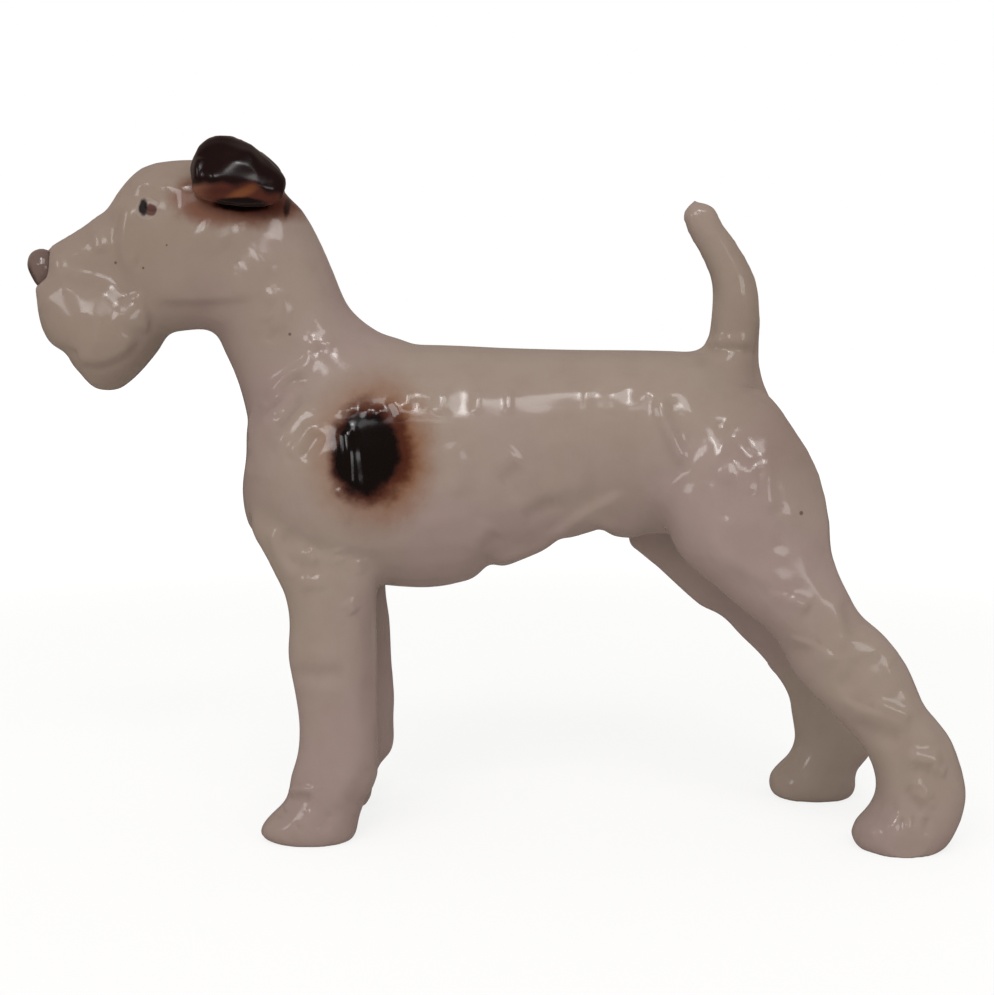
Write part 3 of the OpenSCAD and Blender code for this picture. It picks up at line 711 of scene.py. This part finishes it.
# Nothing stands below the shelf or past the solids' box
def trim(piece):
    points = pointsOf(piece)
    low, high = np.array(cadBox[0]) / mm, np.array(cadBox[1]) / mm
    movePoints(piece, np.clip(points, low, high))


# Pushes the skin in and out along its normals, one set of strokes at a time
def sculpt(skin, strokes):
    points = pointsOf(skin)
    normals = normalsOf(skin)
    moves = np.zeros(len(points))
    for side in (1, -1):
        turned = points * (1, side, 1)
        if side < 0:
            for stagger in staggers:
                low, high = boxOf(stagger["node"], seamSizes["reach"])
                inside = points[:, 0] > low[0]
                inside &= points[:, 0] < high[0] + strokeSizes["behind"]
                top, bottom = stagger["below"]
                share = smoothStep(top - points[:, 2], 0, top - bottom) * inside
                turned[:, 0] += stagger["shift"] * share
        places = pictured(turned)
        facing = smoothStep(-normals[:, 1] * side, *strokeSizes["facing"]) * (turned[:, 1] < 0)
        for kind, width, height, line in strokes:
            line = np.array(line, float)
            reach = strokeSizes["reach"] * width * pixel
            near = within(places, line.min(axis=0) - reach, line.max(axis=0) + reach)
            near &= facing > 0
            moves[near] += pushOf(kind, width, height, line, places[near]) * facing[near]
    movePoints(skin, points + normals * moves[:, None])


# Places where the castings meet or crease, evened out before any stroke (in millimetres)
softenings = [
    {"middle": (48.0, 0.0, 88.0), "radius": 15.0, "rounds": 120},
    {"middle": (50.0, -10.0, 84.0), "radius": 13.0, "rounds": 120},
    {"middle": (50.0, 10.0, 84.0), "radius": 13.0, "rounds": 120},
    {"middle": (37.3, 0.0, 118.5), "radius": 6.5, "rounds": 20},
    {"middle": (30.0, -14.0, 60.0), "radius": 12.0, "rounds": 80},
    {"middle": (30.0, 14.0, 56.0), "radius": 10.0, "rounds": 60},
    {"middle": (-66.0, 0.0, 88.0), "radius": 8.0, "rounds": 10},
]
eyeSoftening = {"radius": 5.0, "rounds": 30}

# The glaze lies thick over the haunch's curls and rounds them
haunchSoftening = {"radius": 13.0, "rounds": 4}
haunchMiddle = (45.5, 15.0, 69.0)

softCore = 0.4  # share of a softening's radius in which it works in full
lastRounds = 2


def soften(skin, middle, radius, rounds):
    away = np.linalg.norm(pointsOf(skin) - middle, axis=1) / radius
    relax(skin, rounds, smoothStep(-away, -1, -softCore), keepVolume=False)


def modelSkin(skin):
    for softening in softenings:
        soften(skin, **softening)
    for side in ("left", "right"):
        low, high = boxOf("eye_" + side)
        soften(skin, (low + high) / 2, **eyeSoftening)
    tuckNearThigh(skin)
    shiftOutline(skin, outlineShifts)
    roundTip(skin)
    for strokes in (formPushes, faceStrokes, neckStrokes, flankStrokes,
                    haunchStrokes, shankStrokes, foreLegStrokes, tailStrokes):
        sculpt(skin, strokes)
    relax(skin, lastRounds)
    for side in (-1, 1):
        soften(skin, np.array(haunchMiddle) * (1, side, 1), **haunchSoftening)
    trim(skin)


skin = fusedSkin()
print("skin:", len(skin.data.vertices), "points")
modelSkin(skin)
print("skin: modelled")
glazed = partSkin(skin)
print("castings:", {name: len(piece.data.polygons) for name, piece in glazed.items()})


# Presses a pellet flatter, from its outer side in
def setIn(piece, share):
    points = pointsOf(piece)
    side = np.sign(points[:, 1].mean())
    inner = np.abs(points[:, 1]).min()
    points[:, 1] = side * (inner + (np.abs(points[:, 1]) - inner) * share)
    movePoints(piece, points)


# The ears, the eyes and the nose, each pressed on its own
earSizes = {"voxel": 0.45 * mm, "rounds": 12, "lastRounds": 3}
eyeSizes = {"voxel": 0.16 * mm, "rounds": 8, "height": 0.62}  # height: the share that is kept
noseSizes = {"voxel": 0.3 * mm, "rounds": 12}


def pressedEar(side):
    ear = pressed("ear_" + side, "ear" + side.title(), earSizes)
    shiftOutline(ear, earShifts)
    sculpt(ear, earStrokes)
    relax(ear, earSizes["lastRounds"])
    return ear


def pressedEye(side):
    eye = pressed("eye_" + side, "eye" + side.title(), eyeSizes)
    setIn(eye, eyeSizes["height"])
    return eye


small = {}
for side in ("left", "right"):
    small["ear_" + side] = pressedEar(side)
    small["eye_" + side] = pressedEye(side)
small["nose"] = pressed("nose", "noseButton", noseSizes)
for piece in small.values():
    trim(piece)
print("pressed pieces:", len(small))


# Shader sums: a wire is one output, and sums on wires add their nodes
class Wire:
    def __init__(self, recipe, socket):
        self.recipe = recipe
        self.socket = socket

    def maths(self, operation, *values):
        return self.recipe.add("ShaderNodeMath", {"operation": operation}, dict(enumerate(values)))

    def __add__(self, other):
        return self.maths("ADD", self, other)

    __radd__ = __add__

    def __sub__(self, other):
        return self.maths("SUBTRACT", self, other)

    def __rsub__(self, other):
        return self.maths("SUBTRACT", other, self)

    def __mul__(self, other):
        return self.maths("MULTIPLY", self, other)

    __rmul__ = __mul__

    def __truediv__(self, other):
        return self.maths("DIVIDE", self, other)

    def __pow__(self, other):
        return self.maths("POWER", self, other)


class Recipe:
    def __init__(self, name):
        self.material = bpy.data.materials.new(name)
        self.material.use_nodes = True
        self.tree = self.material.node_tree
        self.tree.nodes.clear()

    # Adds any node: its settings first, then the values or wires of its sockets
    def add(self, kind, settings=None, inputs=None, output=0):
        node = self.tree.nodes.new(kind)
        for name, value in (settings or {}).items():
            setattr(node, name, value)
        for name, value in (inputs or {}).items():
            if isinstance(value, Wire):
                self.tree.links.new(value.socket, node.inputs[name])
            else:
                node.inputs[name].default_value = value
        if node.outputs:
            return Wire(self, node.outputs[output])

    # Mixes two colours
    def mix(self, share, first, second):
        settings = {"data_type": "RGBA"}
        return self.add("ShaderNodeMix", settings, {0: share, 6: first, 7: second}, 2)

    # 0 up to the first value, 1 from the second on, and smooth between them
    def step(self, value, low, high):
        settings = {"interpolation_type": "SMOOTHSTEP"}
        return self.add("ShaderNodeMapRange", settings, {0: value, 1: low, 2: high, 3: 0.0, 4: 1.0})

    def place(self):
        return self.add("ShaderNodeTexCoord", output="Object")

    def noise(self, place, scale, detail=2.0, roughness=0.5):
        inputs = {"Vector": place, "Scale": scale, "Detail": detail, "Roughness": roughness}
        return self.add("ShaderNodeTexNoise", None, inputs)

    # Fine unevenness of the glaze, its depth in metres
    def bump(self, height, depth):
        inputs = {"Strength": 1.0, "Distance": depth, "Height": height}
        return self.add("ShaderNodeBump", None, inputs)

    def glazed(self, colour, roughness, **others):
        inputs = {"Base Color": colour, "Roughness": roughness, "IOR": glazeIndex, **others}
        return self.finish(self.add("ShaderNodeBsdfPrincipled", None, inputs))

    def finish(self, shader):
        self.add("ShaderNodeOutputMaterial", None, {"Surface": shader})
        return self.material


# The named parts of a place
def split(recipe, place, *names):
    node = recipe.add("ShaderNodeSeparateXYZ", None, {0: place}).socket.node
    return [Wire(recipe, node.outputs[name]) for name in names]


# sRGB values as a reader of the picture sees them, turned linear for the shader
def tint(red, green, blue):
    linear = []
    for value in (red, green, blue):
        share = value / 255
        linear.append(share / 12.92 if share <= 0.04045 else ((share + 0.055) / 1.055) ** 2.4)
    return (*linear, 1.0)


glazeIndex = 1.45

# A painted mark is an oval on the figure's side, in millimetres: its middle (x, z) and radii, how
# much each noise roughens its edge, where it fades in (out of 1 at the oval's edge) and its colour
glazeLook = {
    "cream": (147, 130, 121),
    "straw": (147, 132, 118),
    "rose": (147, 127, 122),
    "creamShare": 0.45,
    "broad": {"scale": 26.0, "fade": (0.38, 0.62)},
    "fine": {"scale": 170.0, "detail": 4.0, "fade": (0.35, 0.8), "share": 0.14},
    "shade": (112, 92, 80),
    "head": {"fade": (-25.0, -55.0), "share": 0.28},
    # painted shade: the rump darker towards its rear and top
    "paintedRumpShade": {"fade": (36.0, 54.0), "fadeUp": (60.0, 76.0), "share": 0.4},
    "grooveDark": {"fade": (0.5, 1.0), "share": 0.22},
    "roughness": 0.13,
    "ripple": {"scale": 90.0, "fineScale": 700.0, "fineShare": 0.08, "depth": 0.12 * mm},
}
patchLook = {
    "grain": 420.0,
    "blotch": 170.0,
    "core": {
        "place": (-22.6, 73.5), "radii": (6.3, 7.9), "rough": (0.4, 0.2),
        "fade": (1.06, 0.8), "colour": (10, 4, 4),
    },
    "ring": {
        "place": (-21.9, 73.6), "radii": (7.5, 9.3), "rough": (0.35, 0.35),
        "fade": (1.22, 0.82), "colour": (60, 20, 12), "share": 0.9,
    },
    "spray": {
        "fade": (1.9, 0.85), "colour": (117, 71, 40), "share": 0.5,
        "tailShare": 0.42, "tailward": (-28.9, -12.9),
    },
}
earLook = {
    "grain": 500.0,
    "drift": 190.0,
    "halo": {
        "place": (-46.6, 119.6), "radii": (12.2, 5.6), "rough": (0.3, 0.5),
        "fade": (1.25, 0.7), "colour": (104, 63, 47), "share": 0.85,
    },
    "red": {
        "place": (-44.4, 119.6), "radii": (7.6, 3.2), "rough": (0.3, 0.5),
        "fade": (1.35, 0.7), "colour": (74, 34, 25),
    },
    "amber": {
        "place": (-45.2, 120.2), "radii": (3.0, 1.0), "rough": (0.0, 0.6), "slant": 0.35,
        "fade": (1.3, 0.3), "colour": (108, 61, 34),
    },
    # the slit under the flap: dark paint, deepened by painted shadow of the flap
    "slitPaintAndShadow": {
        "place": (-45.9, 118.3), "radii": (4.6, 1.1), "rough": (0.4, 0.6),
        "fade": (1.3, 0.8), "colour": (15, 4, 4),
    },
    # painted shade: a dark line in the crease behind the ear
    "rearCreaseShade": {
        "place": (-38.1, 118.3), "radii": (0.5, 1.8), "rough": (0.5,),
        "fade": (1.5, 0.6), "colour": (15, 4, 4), "share": 0.85,
    },
    "flap": {
        "edge": 121.7, "drop": 1.3, "dropFrom": (-43.0, -40.0), "rough": (0.7, 2.6),
        "fade": (-1.0, 0.5), "colours": ((15, 4, 4), (26, 9, 9)), "scale": 300.0,
    },
    "under": (126, 97, 83),
    "roughness": 0.2,
    "ripple": {"scale": 220.0, "depth": 0.06 * mm},
}
eyeLook = {
    "grain": 900.0,
    "red": {
        "place": (-62.6, 117.4), "radii": (1.05, 1.05), "rough": (0.7,),
        "fade": (1.25, 0.75), "colour": (84, 50, 42),
    },
    "dark": {
        "place": (-64.1, 117.95), "radii": (0.8, 1.55), "rough": (0.7,),
        "fade": (1.3, 0.7), "colour": (20, 8, 5),
    },
    "matt": {"place": (-63.4, 117.7), "radii": (2.0, 1.9), "fade": (1.15, 0.9)},
    "roughness": 0.6,
}
noseLook = {
    "grain": 700.0,
    "colour": (104, 86, 80),
    "rim": {"place": (-87.8, 108.3), "lean": 0.33, "fade": (1.7, 0.5), "below": (109.0, 106.5)},
    "rimColour": (58, 42, 38),
    "nostril": {
        "place": (-86.2, 103.6), "radii": (0.8, 1.0), "rough": (0.4,),
        "fade": (1.3, 0.5), "colour": (36, 24, 22),
    },
    "roughness": 0.12,
    "ripple": {"scale": 500.0, "depth": 0.08 * mm},
}
pinholeLook = {"fade": (1.2, 0.7), "colour": (70, 52, 40), "share": 0.7}
pinholes = [
    (-69.6, 107.9, 0.28),
    (-64.2, 106.9, 0.24),
    (-59.6, 111.0, 0.2),
    (-37.1, 94.8, 0.3),
    (55.6, 62.9, 0.4),
]


# How far a point is from a mark's middle, 1 on the oval's edge, roughened by the noises
def ovalAway(mark, x, z, *noises):
    if "slant" in mark:
        z = z - mark["slant"] * (x - mark["place"][0] * mm)
    across = (x / mm - mark["place"][0]) / mark["radii"][0]
    up = (z / mm - mark["place"][1]) / mark["radii"][1]
    away = (across * across + up * up) ** 0.5
    for noise, share in zip(noises, mark.get("rough", ())):
        if share:
            away = away + share * noise
    return away


def paint(recipe, colour, mark, away):
    cover = recipe.step(away, *mark["fade"])
    if "share" in mark:
        cover = cover * mark["share"]
    return recipe.mix(cover, colour, tint(*mark["colour"]))


# The marks round the ear: a sprayed halo, an amber underside, the dark slit under the flap, which
# is dark paint deepened by painted shadow, and a line of painted shade in the crease behind the
# ear; and on the ear itself the dark flap
def earMarks(recipe, colour, place, x, z, onEar):
    grain = recipe.noise(place, earLook["grain"], detail=3.0, roughness=0.6) - 0.5
    drift = recipe.noise(place, earLook["drift"], detail=1.0) - 0.5
    for name in ("halo", "red", "amber", "slitPaintAndShadow", "rearCreaseShade"):
        mark = earLook[name]
        colour = paint(recipe, colour, mark, ovalAway(mark, x, z, grain, drift))
    if onEar:
        flap = earLook["flap"]
        drop = recipe.step(x / mm, *flap["dropFrom"]) * flap["drop"]
        grainShare, driftShare = flap["rough"]
        above = z / mm - (flap["edge"] - drop) + grainShare * grain + driftShare * drift
        dark, light = flap["colours"]
        brown = recipe.mix(recipe.noise(place, flap["scale"]), tint(*dark), tint(*light))
        colour = recipe.mix(recipe.step(above, *flap["fade"]), colour, brown)
    return colour


# The painted eye: a black stroke with a red-brown corner behind it
def eyeMarks(recipe, colour, place, x, z):
    grain = recipe.noise(place, eyeLook["grain"]) - 0.5
    for name in ("red", "dark"):
        mark = eyeLook[name]
        colour = paint(recipe, colour, mark, ovalAway(mark, x, z, grain))
    return colour


# The painted patch on the shoulder: a black core, a brown ring and a sprayed halo
def patchMarks(recipe, colour, place, x, z):
    grain = recipe.noise(place, patchLook["grain"], detail=3.0, roughness=0.6) - 0.5
    blotch = recipe.noise(place, patchLook["blotch"]) - 0.5
    core, ring, spray = (patchLook[name] for name in ("core", "ring", "spray"))
    ringAway = ovalAway(ring, x, z, grain, blotch)
    coreAway = ovalAway(core, x, z, grain, blotch)
    towardsTail = recipe.step(x / mm, *spray["tailward"])
    share = spray["share"] + spray["tailShare"] * towardsTail
    cover = recipe.step(ringAway, *spray["fade"]) * share
    colour = recipe.mix(cover, colour, tint(*spray["colour"]))
    colour = paint(recipe, colour, ring, ringAway)
    return paint(recipe, colour, core, coreAway)


def whiteGlaze():
    look = glazeLook
    recipe = Recipe("whiteGlaze")
    place = recipe.place()
    x, z = split(recipe, place, "X", "Z")
    shade = tint(*look["shade"])
    broad = recipe.step(recipe.noise(place, look["broad"]["scale"]), *look["broad"]["fade"])
    colour = recipe.mix(broad, tint(*look["rose"]), tint(*look["straw"]))
    colour = recipe.mix(look["creamShare"], colour, tint(*look["cream"]))
    fine = recipe.noise(place, look["fine"]["scale"], look["fine"]["detail"], roughness=0.6)
    fine = recipe.step(fine, *look["fine"]["fade"])
    colour = recipe.mix(fine * look["fine"]["share"], colour, shade)
    # The colour is darker towards the head
    head = recipe.step(x / mm, *look["head"]["fade"])
    colour = recipe.mix(head * look["head"]["share"], colour, shade)
    # Painted shade on the rump, darker towards its rear and top
    paintedRumpShade = recipe.step(x / mm, *look["paintedRumpShade"]["fade"]) * recipe.step(z / mm, *look["paintedRumpShade"]["fadeUp"])
    colour = recipe.mix(paintedRumpShade * look["paintedRumpShade"]["share"], colour, shade)
    # Darker in the grooves, by how deep each point lies
    grooveDark = recipe.add("ShaderNodeAttribute", {"attribute_name": "grooveDepth"}, output="Fac")
    grooveDark = recipe.step(grooveDark, *look["grooveDark"]["fade"])
    colour = recipe.mix(grooveDark * look["grooveDark"]["share"], colour, shade)
    colour = patchMarks(recipe, colour, place, x, z)
    colour = earMarks(recipe, colour, place, x, z, False)
    colour = eyeMarks(recipe, colour, place, x, z)
    for dotX, dotZ, radius in pinholes:
        hole = {"place": (dotX, dotZ), "radii": (radius, radius), **pinholeLook}
        colour = paint(recipe, colour, hole, ovalAway(hole, x, z))
    ripple = look["ripple"]
    fineRipple = recipe.noise(place, ripple["fineScale"], detail=1.0)
    height = recipe.noise(place, ripple["scale"], detail=1.0) + ripple["fineShare"] * fineRipple
    # The eye's paint lies over the glaze and is matter
    matt = recipe.step(ovalAway(eyeLook["matt"], x, z), *eyeLook["matt"]["fade"])
    roughness = matt * (eyeLook["roughness"] - look["roughness"]) + look["roughness"]
    return recipe.glazed(colour, roughness, Normal=recipe.bump(height, ripple["depth"]))


def earGlaze():
    recipe = Recipe("earGlaze")
    place = recipe.place()
    x, z = split(recipe, place, "X", "Z")
    colour = earMarks(recipe, tint(*earLook["under"]), place, x, z, True)
    height = recipe.noise(place, earLook["ripple"]["scale"], detail=1.0)
    bump = recipe.bump(height, earLook["ripple"]["depth"])
    return recipe.glazed(colour, earLook["roughness"], Normal=bump)


def noseGlaze():
    look = noseLook
    recipe = Recipe("noseGlaze")
    place = recipe.place()
    x, z = split(recipe, place, "X", "Z")
    grain = recipe.noise(place, look["grain"], detail=3.0, roughness=0.6) - 0.5
    # The nose is darker along its front edge, lower down
    rimX, rimZ = look["rim"]["place"]
    inward = (x / mm - rimX) - look["rim"]["lean"] * (rimZ - z / mm) + grain
    rim = recipe.step(inward, *look["rim"]["fade"]) * recipe.step(z / mm, *look["rim"]["below"])
    colour = recipe.mix(rim, tint(*look["colour"]), tint(*look["rimColour"]))
    colour = paint(recipe, colour, look["nostril"], ovalAway(look["nostril"], x, z, grain))
    bump = recipe.bump(recipe.noise(place, look["ripple"]["scale"]), look["ripple"]["depth"])
    return recipe.glazed(colour, look["roughness"], Normal=bump)


def eyeGlaze():
    recipe = Recipe("eyePaint")
    place = recipe.place()
    x, z = split(recipe, place, "X", "Z")
    colour = eyeMarks(recipe, tint(*glazeLook["cream"]), place, x, z)
    return recipe.glazed(colour, eyeLook["roughness"])


white = whiteGlaze()
brown = earGlaze()
noseBrown = noseGlaze()
eyeDark = eyeGlaze()
print("glazes: mixed")


def dress(piece, node, material):
    piece.data.materials.clear()
    piece.data.materials.append(material)
    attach(piece, "root")
    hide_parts(node)


dress(glazed["body.glazed"], "body_casting", white)
for name, node in partings.items():
    dress(glazed[name], node, white)
for side in ("left", "right"):
    dress(small["ear_" + side], "ear_" + side, brown)
    dress(small["eye_" + side], "eye_" + side, eyeDark)
dress(small["nose"], "nose", noseBrown)


# The floor: pale, white where nothing shades it, with the figure's soft shadow
floorSizes = {
    "half": 4.0,
    "cuts": 8,
    "shadow": (0.2, 0.5),  # metres from the figure in which the shadow's share fades out
    "sheen": (0.05, 0.5),
    "shadowShare": 0.26,
    "colour": (230, 228, 224),
}

# The light that comes from all round, and what the gloss sees of the floor and of the room
# behind the figure and ahead of it, all of it warm
lightLevels = {
    "room": 0.66,
    "behind": 0.3,
    "ahead": 0.12,
    "floorSheen": 0.2,
    "warm": (255, 229, 212),
}
plainWhite = (1, 1, 1, 1)


# The rays that see the white background: from the camera, off gloss and through glass
def backgroundRays(recipe):
    rays = recipe.add("ShaderNodeLightPath").socket.node
    kinds = ("Is Camera Ray", "Is Glossy Ray", "Is Transmission Ray")
    return [Wire(recipe, rays.outputs[kind]) for kind in kinds]


def floorPaper():
    recipe = Recipe("floorPaper")
    colour = tint(*floorSizes["colour"])
    shadowShare = floorSizes["shadowShare"]
    away = recipe.add("ShaderNodeVectorMath", {"operation": "LENGTH"}, {0: recipe.place()}, "Value")
    camera, glossy, through = backgroundRays(recipe)
    far = recipe.step(away, *floorSizes["shadow"])
    share = (camera + through) * (1 - (1 - far) * shadowShare) + glossy
    sheenFade = lightLevels["ahead"] - lightLevels["floorSheen"]
    sheen = lightLevels["floorSheen"] + sheenFade * recipe.step(away, *floorSizes["sheen"])
    paper = recipe.add("ShaderNodeBsdfDiffuse", None, {"Color": colour})
    # Paper and glow together come to white where no shadow falls
    evenWhite = (1 - shadowShare * colour[0]) / (1 - shadowShare)
    level = (1 - glossy) * evenWhite + glossy * sheen
    warmth = recipe.mix(glossy, plainWhite, tint(*lightLevels["warm"]))
    glow = recipe.add("ShaderNodeEmission", None, {"Color": warmth, "Strength": level})
    return recipe.finish(recipe.add("ShaderNodeMixShader", None, {0: share, 1: paper, 2: glow}))


def paleFloor():
    deselectAll()
    bpy.ops.mesh.primitive_grid_add(
        x_subdivisions=floorSizes["cuts"],
        y_subdivisions=floorSizes["cuts"],
        size=2 * floorSizes["half"],
        location=(0, 0, 0),
    )
    floor = bpy.context.object
    floor.name = "floor"
    floor.data.materials.append(floorPaper())


paleFloor()
print("floor: laid")


# Light: a soft key that doesn't show in the gloss, and a window whose panes do
lampSizes = {
    "softKey": {"place": (-0.7, -1.3, 1.2), "size": (1.2, 1.2), "level": 1.5, "shows": False},
    "windowPane": {"place": (0.19, -0.9, 1.05), "size": (0.62, 0.28), "level": 4.2},
    "leftWindow": {"place": (-0.41, -1.08, 0.75), "size": (0.36, 0.31), "level": 5.0},
    "middlePane": {"place": (-0.05, -1.13, 0.8), "size": (0.2, 0.16), "level": 2.0},
    "rightWindow": {"place": (0.73, -1.09, 0.39), "size": (0.48, 0.28), "level": 3.0},
    "chestWindow": {"place": (-1.03, -0.75, 0.52), "size": (0.24, 0.28), "level": 3.5},
    "brightPane": {"place": (0.06, -0.88, 1.08), "size": (0.14, 0.19), "level": 11.0},
}
lampAim = Vector((0, 0, 0.06))


def addLamps():
    for name, lamp in lampSizes.items():
        data = bpy.data.lights.new(name, "AREA")
        data.shape = "RECTANGLE"
        data.size, data.size_y = lamp["size"]
        data.energy = lamp["level"] * math.pi * data.size * data.size_y
        obj = newObject(name, data)
        obj.location = lamp["place"]
        obj.rotation_euler = (lampAim - Vector(lamp["place"])).to_track_quat("-Z", "Y").to_euler()
        obj.visible_glossy = lamp.get("shows", True)


class WorldRecipe(Recipe):
    def __init__(self, name):
        self.world = bpy.data.worlds.new(name)
        self.world.use_nodes = True
        self.tree = self.world.node_tree
        self.tree.nodes.clear()


# The room: a white backdrop behind the figure, dimmer on the camera's side
backdropEdge = (-0.1, 0.35)


def addRoom():
    recipe = WorldRecipe("room")
    bpy.context.scene.world = recipe.world
    y = split(recipe, recipe.add("ShaderNodeTexCoord", output="Generated"), "Y")[0]
    camera, glossy, through = backgroundRays(recipe)
    backdrop = recipe.step(y, *backdropEdge)
    gloss = lightLevels["ahead"] + (lightLevels["behind"] - lightLevels["ahead"]) * backdrop
    seen = camera + through + glossy * gloss
    plain = 1 - (camera + glossy + through)
    sky = recipe.add("ShaderNodeBackground", None, {
        "Color": recipe.mix(glossy, plainWhite, tint(*lightLevels["warm"])),
        "Strength": seen + plain * lightLevels["room"]})
    recipe.add("ShaderNodeOutputWorld", None, {"Surface": sky})


addLamps()
addRoom()
print("light:", len(lampSizes), "lamps")


def addCamera():
    data = bpy.data.cameras.new("camera")
    data.lens = cameraSizes["lens"]
    data.sensor_width = cameraSizes["sensor"]
    data.clip_start = cameraSizes["nearest"]
    camera = newObject("camera", data)
    tilt = math.radians(cameraSizes["tilt"])
    target = Vector(cameraSizes["aim"])
    back = Vector((0, -math.cos(tilt), math.sin(tilt)))
    camera.location = target + back * cameraSizes["distance"]
    camera.rotation_euler = (-back).to_track_quat("-Z", "Y").to_euler()
    bpy.context.scene.camera = camera


addCamera()
bpy.context.scene.view_settings.view_transform = "Standard"
